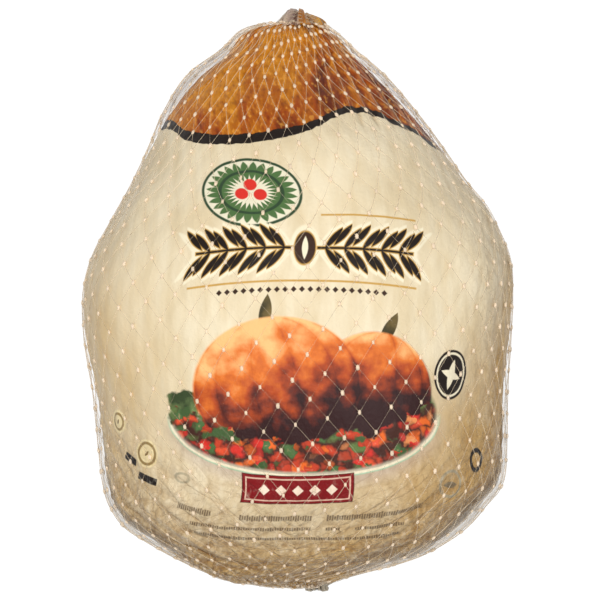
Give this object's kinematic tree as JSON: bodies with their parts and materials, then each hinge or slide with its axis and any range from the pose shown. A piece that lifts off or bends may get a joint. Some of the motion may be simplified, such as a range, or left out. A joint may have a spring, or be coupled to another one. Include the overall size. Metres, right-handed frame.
{
  "type": "whole frozen turkey in a printed net bag",
  "caption": "Plump frozen whole turkey in a shrunk printed film bag inside a stretched diamond net, tied at both ends, lying on its back with the narrow leg end at +Y.",
  "frame": {"origin": "on the floor under the middle of the pack's box, as it lies on its back", "axes": "+Y towards the narrow leg end where the bag is gathered, +Z up through the breast and the printed front, +X to the right seen from above with +Y up"},
  "size_m": [0.2394, 0.3228, 0.1868],
  "materials": {
    "printed_film": "glossy wrinkled shrink film, printed cream with an orange-brown end",
    "orange_film": "gathered and pleated orange-brown film",
    "clear_net": "clear to milky welded plastic net, drawn together"
  },
  "bodies": {
    "root": {"netted_turkey": "printed_film", "gathered_tail": "orange_film", "net_knot": "clear_net"}
  },
  "joints": []
}
